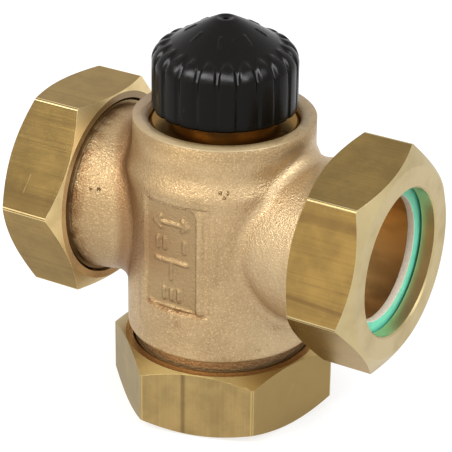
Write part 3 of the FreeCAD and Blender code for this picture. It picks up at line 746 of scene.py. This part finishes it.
def add_form(target, form):
    """Joins one bmesh to another."""
    mesh = as_mesh("joined", form)
    target.from_mesh(mesh)
    bpy.data.meshes.remove(mesh)


def add_outline(form, outline, open_after=None):
    """Points and edges of a closed outline of (radius, height) points, open after one of them where asked."""
    points = [form.verts.new((radius, 0, height)) for radius, height in outline]
    pairs = list(zip(points, points[1:] + points[:1]))
    if open_after is not None:
        pairs.pop(open_after)
    return points, [form.edges.new(pair) for pair in pairs]


def turn_round(form, points, edges, steps):
    """Sweeps points and edges once round Z."""
    bmesh.ops.spin(form, geom=points + edges, cent=(0, 0, 0), axis=(0, 0, 1), angle=FULL_TURN, steps=steps,
                   use_merge=True)
    bmesh.ops.remove_doubles(form, verts=form.verts, dist=WELD)


def wind(form, points, edges, pitch, turns, steps):
    """Sweeps points and edges along a helix about Z, and closes its ends."""
    count = round(turns * steps)
    bmesh.ops.spin(form, geom=points + edges, cent=(0, 0, 0), axis=(0, 0, 1), dvec=(0, 0, pitch / steps),
                   angle=FULL_TURN * count / steps, steps=count)
    bmesh.ops.holes_fill(form, edges=[e for e in form.edges if e.is_boundary], sides=0)


def from_axis(vertex):
    return math.hypot(vertex.co.x, vertex.co.y)


def set_from_axis(vertex, radius):
    """Moves a vertex towards the Z axis or away from it."""
    share = radius / from_axis(vertex)
    vertex.co.x *= share
    vertex.co.y *= share


def turn_at(vertex, low, pitch):
    """How many turns along a right-hand helix about Z a vertex lies."""
    part = (math.atan2(vertex.co.y, vertex.co.x) % FULL_TURN) / FULL_TURN
    return round((vertex.co.z - low) / pitch - part) + part


def helical_ridge(kind, wall, crest, low, high, pitch):
    """Thread ridge round Z with tapered ends, from the radius of its wall to that of its crest."""
    sunk, *widths = (value * MM for value in THREADS[kind])
    root, top = (width / 2 for width in widths)
    base = wall - math.copysign(sunk, crest - wall)
    turns = (high - low) / pitch
    form = bmesh.new()
    ring = ((base, low - root), (crest, low - top), (crest, low + top), (base, low + root))
    wind(form, *add_outline(form, ring), pitch, turns, THREAD_STEPS)
    for vertex in form.verts:
        at = turn_at(vertex, low, pitch)
        share = max(THREAD_END, min(1.0, at / RUN_OUT, (turns - at) / RUN_OUT))
        set_from_axis(vertex, base + (from_axis(vertex) - base) * share)
    bmesh.ops.recalc_face_normals(form, faces=form.faces)
    return form


def clamped(value):
    return max(0.0, min(1.0, value))


def gap_to(place, first, last):
    """Distance of a point of the panel from a stroke."""
    along = last - first
    share = clamped((place - first).dot(along) / along.length_squared)
    return (place - first - along * share).length


def circle_through(first, middle, last, steps):
    """Points along the arc through three points of a plane."""
    (ax, ay), (bx, by), (cx, cy) = first, middle, last
    d = 2 * (ax * (by - cy) + bx * (cy - ay) + cx * (ay - by))
    a, b, c = ax * ax + ay * ay, bx * bx + by * by, cx * cx + cy * cy
    ux = (a * (by - cy) + b * (cy - ay) + c * (ay - by)) / d
    uy = (a * (cx - bx) + b * (ax - cx) + c * (bx - ax)) / d
    radius = math.hypot(ax - ux, ay - uy)
    start = math.atan2(ay - uy, ax - ux)
    sweep = (math.atan2(cy - uy, cx - ux) - start) % FULL_TURN
    turns = (start + sweep * k / steps for k in range(steps + 1))
    return [(ux + radius * math.cos(turn), uy + radius * math.sin(turn)) for turn in turns]


# Pieces

class ValvePiece:
    """Shared by the operators that make a piece of the valve."""
    bl_options = {"REGISTER"}

    def execute(self, context):
        scene = context.scene
        self.build(scene.valve_sizes, scene.valve_colours)
        return {"FINISHED"}


class VALVE_OT_cast_body(ValvePiece, bpy.types.Operator):
    """Make the cast body, with soft edges and raised flow signs on its front panel"""
    bl_idname = "valve.cast_body"
    bl_label = "Cast body"

    def on_panel(self, vertex):
        """Whether a vertex lies on the panel's part of the body."""
        (left, right), (low, high) = PANEL
        x, y, z = (vertex.co - CROSSING) / MM
        return left < x < right and low < z < high and y < PANEL_FRONT

    def cut_grid(self, form, step):
        """Cuts the front panel's part of the body into a fine grid."""
        (left, right), (low, high) = ((a * MM, b * MM) for a, b in PANEL)
        low, high = low + AXIS_HEIGHT, high + AXIS_HEIGHT
        faces = [f for f in form.faces
                 if f.normal.y < PANEL_FACING and f.calc_center_median().y < PANEL_FRONT * MM
                 and any(left < v.co.x < right for v in f.verts)
                 and max(v.co.z for v in f.verts) > low and min(v.co.z for v in f.verts) < high]
        geometry = faces + list({e for f in faces for e in f.edges}) + list({v for f in faces for v in f.verts})
        for normal, first, last in ((Vector((1, 0, 0)), left, right), (Vector((0, 0, 1)), low, high)):
            for k in range(round((last - first) / step) + 1):
                geometry = bmesh.ops.bisect_plane(form, geom=geometry, dist=WELD, plane_no=normal,
                                                  plane_co=normal * (first + k * step))["geom"]

    def join_walls(self, form):
        """Joins the points of the grid that lie one behind another, so that the panel's walls can slope."""
        found, joined = {}, {}
        for vertex in form.verts:
            if self.on_panel(vertex):
                place = (round(vertex.co.x / (BEHIND * MM)), round(vertex.co.z / (BEHIND * MM)))
                first = found.setdefault(place, vertex)
                if first is not vertex:
                    joined[vertex] = first
                    first.co.y = (first.co.y + vertex.co.y) / 2
        bmesh.ops.weld_verts(form, targetmap=joined)
        bmesh.ops.dissolve_degenerate(form, dist=WELD, edges=form.edges)

    def smooth(self, form, points):
        bmesh.ops.smooth_vert(form, verts=points, factor=0.5, use_axis_y=True)

    def raise_signs(self, points, sizes):
        """Lifts the flow signs from the panel's floor, and roughens the panel a little."""
        signs = [(Vector(a) * MM, Vector(b) * MM) for a, b in SIGNS]
        strip = [Vector(end) * MM for end in STRIP]
        for vertex in points:
            place = Vector((vertex.co.x, vertex.co.z - AXIS_HEIGHT))
            lift = SKIN_HEIGHT * MM * noise.noise(vertex.co * SKIN_SCALE)
            if abs(vertex.co.y + sizes.panel_floor) < FLOOR_NEAR * MM:
                gap = min(gap_to(place, *sign) for sign in signs)
                gap += SIGN_WANDER * MM * noise.noise(vertex.co * SIGN_SCALE)
                lift += sizes.mark_height * clamped(SIGN_FOOT - gap / (sizes.mark_width / 2))
            gap = gap_to(place, *strip)
            lift += sizes.strip_height * clamped(STRIP_FOOT - gap / (sizes.strip_width / 2))
            vertex.co.y -= lift

    def build(self, sizes, colours):
        form = cad_form("valve_body", BODY_FLAT)
        self.cut_grid(form, sizes.panel_grid)
        self.join_walls(form)
        points = [v for v in form.verts if self.on_panel(v)]
        self.smooth(form, points)
        foot = [v for v in points if (v.co.z - AXIS_HEIGHT) / MM < PANEL_FOOT]
        for turn in range(FOOT_TURNS):
            self.smooth(form, foot)
        self.raise_signs(points, sizes)
        self.smooth(form, points)
        make_piece("cast_body", form, "body", [finish("blasted_gunmetal", cast_gunmetal, colours)],
                   "valve_body", sharp=40.0)


class VALVE_OT_port_threads(ValvePiece, bpy.types.Operator):
    """Wind the male thread on each port and on the bonnet's neck"""
    bl_idname = "valve.port_threads"
    bl_label = "Port threads"

    def build(self, sizes, colours):
        machined = finish("blasted_gunmetal", cast_gunmetal, colours)
        for port in PORTS:
            reach = from_crossing("gasket_" + port, port)[0]
            form = helical_ridge("port", sizes.port_thread, sizes.port_thread + sizes.thread_height,
                                 reach - sizes.thread_length + PORT_ENDS[0] * MM, reach - PORT_ENDS[1] * MM,
                                 sizes.thread_pitch)
            form.transform(to_port(port))
            make_piece("port_thread_" + port, form, "body", [machined])
        top = from_crossing("bonnet")[1]
        neck = helical_ridge("neck", sizes.neck_thread, sizes.neck_thread + sizes.neck_height,
                             top - NECK_ENDS[0] * MM, top - NECK_ENDS[1] * MM, sizes.neck_pitch)
        neck.transform(TO_MIDDLE)
        make_piece("neck_thread", neck, "body", [polished_brass(colours)])


class VALVE_OT_union_nuts(ValvePiece, bpy.types.Operator):
    """Break the edges of the union nuts and cut their threads"""
    bl_idname = "valve.union_nuts"
    bl_label = "Union nuts"

    def sort_faces(self, form, lip):
        """Gives the flats, the faces, the bore with its inner ring, and the lip's hole their finishes."""
        flats, faces, inside, hole = range(4)
        for face in form.faces:
            centre = face.calc_center_median()
            along = face.normal.x * centre.x + face.normal.y * centre.y
            outward = along / max(math.hypot(centre.x, centre.y), WELD)
            if outward > FLAT_OUT:
                face.material_index = flats
            elif centre.z < lip and (outward < BORE_IN or face.normal.z < RING_BACK):
                face.material_index = inside
            else:
                face.material_index = hole if outward < HOLE_IN else faces
        return inside

    def build(self, sizes, colours):
        bore = sizes.nut_bore + sizes.thread_height
        for port in PORTS:
            node = "union_nut_" + port
            low, high = from_crossing(node, port)
            lip = high - sizes.nut_lip
            form = cad_form(node, NUT_FLAT, to_port(port).inverted())
            for vertex in form.verts:
                if abs(from_axis(vertex) - sizes.nut_bore) < BORE_NEAR * MM:
                    set_from_axis(vertex, bore)
            edges = [e for e in form.edges if e.is_manifold and e.calc_face_angle() > math.radians(NUT_EDGE)]
            bmesh.ops.bevel(form, geom=edges, offset=sizes.nut_edge, affect="EDGES", segments=2, profile=0.5,
                            material=-1, clamp_overlap=True)
            inside = self.sort_faces(form, lip)
            thread = helical_ridge("nut", bore, sizes.nut_bore + NUT_PLAY * MM,
                                   low + sizes.nut_entry + NUT_START * sizes.thread_pitch, lip - NUT_END * MM,
                                   sizes.thread_pitch)
            for face in thread.faces:
                face.material_index = inside
            add_form(form, thread)
            form.transform(to_port(port))
            axis = "Z" if port == "bottom" else "X"
            piece = make_piece("nut_" + port, form, node, nut_finishes(axis, colours), node)
            piece.modifiers.new("even_normals", "WEIGHTED_NORMAL").keep_sharp = True


class VALVE_OT_gaskets(ValvePiece, bpy.types.Operator):
    """Make the flat gaskets with their soft edges"""
    bl_idname = "valve.gaskets"
    bl_label = "Gaskets"

    def build(self, sizes, colours):
        hole, edge = sizes.gasket_hole, sizes.gasket_edge
        eased = GASKET_EASE * edge
        for port in PORTS:
            node = "gasket_" + port
            low, high = from_crossing(node, port)
            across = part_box(node)[1].y
            outline = []
            for radius, height, out, up in ((hole, low, 1, 1), (across, low, -1, 1), (across, high, -1, -1),
                                            (hole, high, 1, -1)):
                corner = [(radius, height + up * edge), (radius + out * eased, height + up * eased),
                          (radius + out * edge, height)]
                outline += corner if out == up else corner[::-1]
            form = bmesh.new()
            turn_round(form, *add_outline(form, outline), GASKET_STEPS)
            bmesh.ops.recalc_face_normals(form, faces=form.faces)
            form.transform(to_port(port))
            make_piece("sealing_ring_" + port, form, node, [finish("gasket_sheet", gasket_sheet, colours)],
                       node)


class CapShape:
    """Lines and relief of the cap about Z, from the crossing of the port axes."""

    def __init__(self, sizes):
        self.sizes = sizes
        self.low, self.high = from_crossing("protective_cap")
        self.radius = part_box("protective_cap")[1].x
        self.shoulder = self.low + sizes.cap_skirt
        self.foot = (sizes.cap_cone_foot, self.shoulder + sizes.cap_cone_rise)
        self.tip = (CAP_TIP[0] * MM, self.high - CAP_TIP[1] * MM)
        self.bore = sizes.cap_bore + sizes.cap_thread

    def cone(self, radius):
        """Height of the plain cone at a radius."""
        share = (self.foot[0] - radius) / (self.foot[0] - self.tip[0])
        crown = self.sizes.cap_cone_crown * 4 * max(0.0, share * (1 - share))
        return self.foot[1] + (self.tip[1] - self.foot[1]) * share + crown

    def skirt(self):
        """Line up the crest of a rib, from its eased lower edge to the shoulder."""
        line = [(self.radius - inset * MM, self.low + rise * MM) for inset, rise in CAP_EDGE]
        start = line[-1][1]
        rise = (self.shoulder - start) / SKIRT_STEPS
        return line + [(self.radius, start + rise * k) for k in range(1, SKIRT_STEPS + 1)]

    def head(self):
        """Line over the head of a rib, from the shoulder to the rib's end on the cone."""
        middle, end = (self.radius + self.foot[0]) / 2, self.sizes.cap_rib_end
        crown = (middle, self.cone(middle) + self.sizes.cap_rib_crown)
        return circle_through((self.radius, self.shoulder), crown, (end, self.cone(end)), HEAD_STEPS)[1:]

    def slope(self):
        """Line up the cone, from the ribs' end to the tip."""
        end = self.sizes.cap_rib_end
        radii = [end + (self.tip[0] - end) * k / SLOPE_STEPS for k in range(1, SLOPE_STEPS + 1)]
        return [(radius, self.cone(radius)) for radius in radii]

    def inside(self):
        """Line down the inside, from the boss that meets the spindle to the bore's countersink."""
        boss, entry = CAP_BOSS * MM, CAP_ENTRY * MM
        stem_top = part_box("spindle")[1].z - AXIS_HEIGHT + STEM_PLAY * MM
        return [(0.0, stem_top), (boss, stem_top), (boss, self.cone(boss) - CAP_WALL * MM),
                (self.bore, self.low + CAP_CEILING * MM), (self.bore, self.low + entry),
                (self.bore + entry, self.low)]

    def rib_share(self, angle, radius, end, below):
        """1 on a rib and 0 in a groove. End goes from 0 on the skirt to 1 where the rib runs out, and below is
        how far down the skirt a point lies."""
        pitch = FULL_TURN / self.sizes.cap_ribs
        half = pitch * radius / 2
        gap = (0.5 - abs((angle / pitch) % 1.0 - 0.5)) * pitch * radius
        groove = self.sizes.cap_groove / 2
        ease = max(0.0, end - RIB_CLOSING) / (1 - RIB_CLOSING)
        groove += (half - groove) * ease * ease * RIB_CLOSED
        share = clamped((gap - GROOVE_FLOOR * groove) / (GROOVE_WALL * groove))
        crown = 1.0 - RIB_ROUND * (1.0 - min(1.0, gap / half)) ** 2
        share = share * share * (3 - 2 * share) * crown
        shallow = GROOVE_SHALLOW * min(1.0, below / self.sizes.cap_rib_fade)
        return share + (1.0 - share) * shallow

    def tick_height(self, angle, radius):
        """How far one of the raised ticks round the cone lifts a point."""
        sizes = self.sizes
        pitch = FULL_TURN / sizes.cap_ticks
        aside = abs((angle / pitch) % 1.0 - 0.5) * pitch * radius
        along = abs(radius - sizes.cap_tick_at)
        inside = min(sizes.cap_tick_width / 2 - aside, sizes.cap_tick_length / 2 - along)
        return sizes.cap_tick_height * clamped(0.5 + inside / (TICK_SLOPE * MM))

    def core_point(self, radius, height):
        """Where a point of a rib lies on the plain cap under it."""
        core, foot = self.sizes.cap_core, self.foot
        if height <= self.shoulder:
            return min(core, radius), height
        if radius >= foot[0]:
            share = (radius - foot[0]) / (self.radius - foot[0])
            return foot[0] + (core - foot[0]) * share, foot[1] + (self.shoulder - foot[1]) * share
        return radius, self.cone(radius)


class VALVE_OT_protective_cap(ValvePiece, bpy.types.Operator):
    """Mould the ribbed cap"""
    bl_idname = "valve.protective_cap"
    bl_label = "Protective cap"

    def soften(self, line, end):
        """Evens out the heights where the ribs run out on the cone."""
        soft = range(end - SOFT_BEFORE, end + SOFT_AFTER)
        for turn in range(SOFT_TURNS):
            heights = [(line[k - 1][1] + 2 * line[k][1] + line[k + 1][1]) / 4 for k in soft]
            for k, height in zip(soft, heights):
                line[k] = (line[k][0], height)

    def build(self, sizes, colours):
        shape = CapShape(sizes)
        crest = shape.skirt()
        skirt_end = len(crest)
        crest += shape.head()
        head_end = len(crest)
        crest += shape.slope()
        cone_end = len(crest)
        self.soften(crest, head_end)
        crest += [(radius * MM, shape.high - drop * MM) for radius, drop in DISH]
        form = bmesh.new()
        layer = form.verts.layers.int.new("place")
        points, edges = add_outline(form, crest + shape.inside(), open_after=len(crest) - 1)
        for k, vertex in enumerate(points):
            vertex[layer] = k
        turn_round(form, points, edges, sizes.cap_ribs * RIB_STEPS)
        for vertex in form.verts:
            k = vertex[layer]
            angle, at = math.atan2(vertex.co.y, vertex.co.x), from_axis(vertex)
            if head_end <= k < cone_end:
                vertex.co.z += shape.tick_height(angle, at)
            elif k < head_end:
                end = max(0.0, (k - skirt_end + 1) / (head_end - skirt_end))
                core = shape.core_point(at, vertex.co.z)
                share = shape.rib_share(angle, at, end, max(0.0, shape.shoulder - vertex.co.z))
                vertex.co.z = core[1] + (vertex.co.z - core[1]) * share
                set_from_axis(vertex, core[0] + (at - core[0]) * share)
        bmesh.ops.recalc_face_normals(form, faces=form.faces)
        thread = helical_ridge("cap", shape.bore, sizes.cap_bore + CAP_PLAY * MM, shape.low + CAP_ENDS[0] * MM,
                               shape.low + CAP_ENDS[1] * MM, sizes.neck_pitch)
        add_form(form, thread)
        form.transform(TO_MIDDLE)
        make_piece("ribbed_cap", form, "cap", [finish("cap_skin", cap_plastic, colours)],
                   "protective_cap", sharp=60.0)


class VALVE_OT_return_spring(ValvePiece, bpy.types.Operator):
    """Wind the return spring"""
    bl_idname = "valve.return_spring"
    bl_label = "Return spring"

    def build(self, sizes, colours):
        low, high = from_crossing("return_spring")
        wire = sizes.spring_wire
        form = bmesh.new()
        made = bmesh.ops.create_circle(form, segments=12, radius=wire)
        start = Matrix.Translation((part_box("return_spring")[1].x - wire, 0, low + wire))
        bmesh.ops.transform(form, matrix=start @ Matrix.Rotation(math.pi / 2, 4, "X"), verts=made["verts"])
        pitch = (high - low - 2 * wire) / SPRING_TURNS
        wind(form, form.verts[:], form.edges[:], pitch, SPRING_TURNS, SPRING_STEPS)
        bmesh.ops.recalc_face_normals(form, faces=form.faces)
        form.transform(TO_MIDDLE)
        piece = make_piece("coil_spring", form, "body", [finish("ground_steel", ground_steel, colours)],
                           "return_spring")
        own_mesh(piece)


class VALVE_OT_inner_pieces(ValvePiece, bpy.types.Operator):
    """Finish the bonnet, gland, spindle, plug and seals"""
    bl_idname = "valve.inner_pieces"
    bl_label = "Inner pieces"

    def build(self, sizes, colours):
        made = {
            "turned_brass": polished_brass(colours),
            "spindle_steel": finish("ground_steel", ground_steel, colours),
            "seal_rubber": finish("soft_rubber", seal_rubber, colours),
        }
        for row in frame["record"]["subparts"]:
            material = made.get(row["material_slot"])
            if material:
                frame["nodes"][row["node"]].material_slots[0].material = material


# Stage

class VALVE_OT_stage(bpy.types.Operator):
    """Set up the floor, the light and the camera"""
    bl_idname = "valve.stage"
    bl_label = "Stage"

    def floor(self, scene):
        """White wherever the camera sees it, and grey to the light that it throws back."""
        form = bmesh.new()
        bmesh.ops.create_grid(form, x_segments=1, y_segments=1, size=FLOOR_HALF)
        mesh = as_mesh("floor", form)
        pale = Finish("floor", specular=0.0)
        pale.set(pale.shader, "Emission Color", (1, 1, 1))
        pale.set(pale.shader, "Emission Strength", pale.times(pale.seen(), FLOOR_GLOW))
        mesh.materials.append(pale.done(scene.valve_colours.floor, 0.9))
        holder = add_object("floor", mesh)

    def world(self, scene):
        """White wherever the camera sees it, and a little dimmer as a light."""
        world = bpy.data.worlds.new("studio")
        world.use_nodes = True
        studio = Nodes(world.node_tree)
        background = studio.tree.nodes["Background"]
        studio.set(background, "Color", (1, 1, 1))
        studio.set(background, "Strength", studio.spread(studio.seen(), WORLD_LIGHT, 1.0))
        scene.world = world

    def light(self, name, power, tint, size, place):
        """Adds an area light that faces the crossing of the port axes."""
        lamp = bpy.data.lights.new(name, "AREA")
        lamp.shape = "RECTANGLE"
        lamp.size, lamp.size_y = size
        lamp.energy = power
        lamp.color = tint
        holder = add_object(name, lamp)
        holder.location = place
        holder.rotation_euler = (CROSSING - Vector(place)).to_track_quat("-Z", "Y").to_euler()
        return holder

    def camera(self, scene):
        """Adds the photo's camera."""
        stage = scene.valve_stage
        a, e, r = stage.azimuth, stage.elevation, stage.roll
        back = Vector((math.sin(a) * math.cos(e), -math.cos(a) * math.cos(e), math.sin(e)))
        right = Vector((math.cos(a), math.sin(a), 0))
        up = back.cross(right)
        right, up = right * math.cos(r) + up * math.sin(r), up * math.cos(r) - right * math.sin(r)
        lens = bpy.data.cameras.new("camera")
        lens.lens = stage.lens
        lens.sensor_width = SENSOR_WIDTH
        lens.shift_x, lens.shift_y = stage.shift_x, stage.shift_y
        lens.clip_start, lens.clip_end = CLIP
        holder = add_object("camera", lens)
        turn = Matrix((right, up, back)).transposed().to_4x4()
        holder.matrix_world = Matrix.Translation(CROSSING + back * stage.distance) @ turn
        scene.camera = holder

    def execute(self, context):
        scene = context.scene
        self.floor(scene)
        self.world(scene)
        self.camera(scene)
        stage = scene.valve_stage
        for name, (size, place) in LIGHTS.items():
            tint = getattr(stage, name + "_colour", (1, 1, 1))
            holder = self.light(name + "_light", getattr(stage, name), tint, size, place)
            if name == "cap":
                only_cap = bpy.data.collections.new("lit_by_cap_light")
                only_cap.objects.link(bpy.data.objects["ribbed_cap"])
                holder.light_linking.receiver_collection = only_cap
        scene.view_settings.view_transform = "Standard"
        return {"FINISHED"}


class VALVE_PT_panel(bpy.types.Panel):
    """Lists the steps that dress the valve"""
    bl_idname = "VALVE_PT_panel"
    bl_label = "Three-way valve"
    bl_space_type = "VIEW_3D"
    bl_region_type = "UI"
    bl_category = "Valve"

    def draw(self, context):
        for step in STEPS:
            self.layout.operator(step.bl_idname, text=step.bl_label)
        for settings in (context.scene.valve_sizes, context.scene.valve_colours, context.scene.valve_stage):
            column = self.layout.column()
            for name in settings.bl_rna.properties.keys():
                if name not in ("rna_type", "name"):
                    column.prop(settings, name)


STEPS = (VALVE_OT_cast_body, VALVE_OT_port_threads, VALVE_OT_union_nuts, VALVE_OT_gaskets,
         VALVE_OT_protective_cap, VALVE_OT_return_spring, VALVE_OT_inner_pieces, VALVE_OT_stage)
GROUPS = {"valve_sizes": ValveSizes, "valve_colours": ValveColours, "valve_stage": ValveStage}


def register():
    for group in (*GROUPS.values(), *STEPS, VALVE_PT_panel):
        bpy.utils.register_class(group)
    for name, group in GROUPS.items():
        setattr(bpy.types.Scene, name, PointerProperty(type=group))


def unregister():
    for name in GROUPS:
        delattr(bpy.types.Scene, name)
    for group in reversed((*GROUPS.values(), *STEPS, VALVE_PT_panel)):
        bpy.utils.unregister_class(group)


def main():
    register()
    for step in STEPS:
        group, name = step.bl_idname.split(".")
        getattr(getattr(bpy.ops, group), name)()


if __name__ == "__main__":
    main()
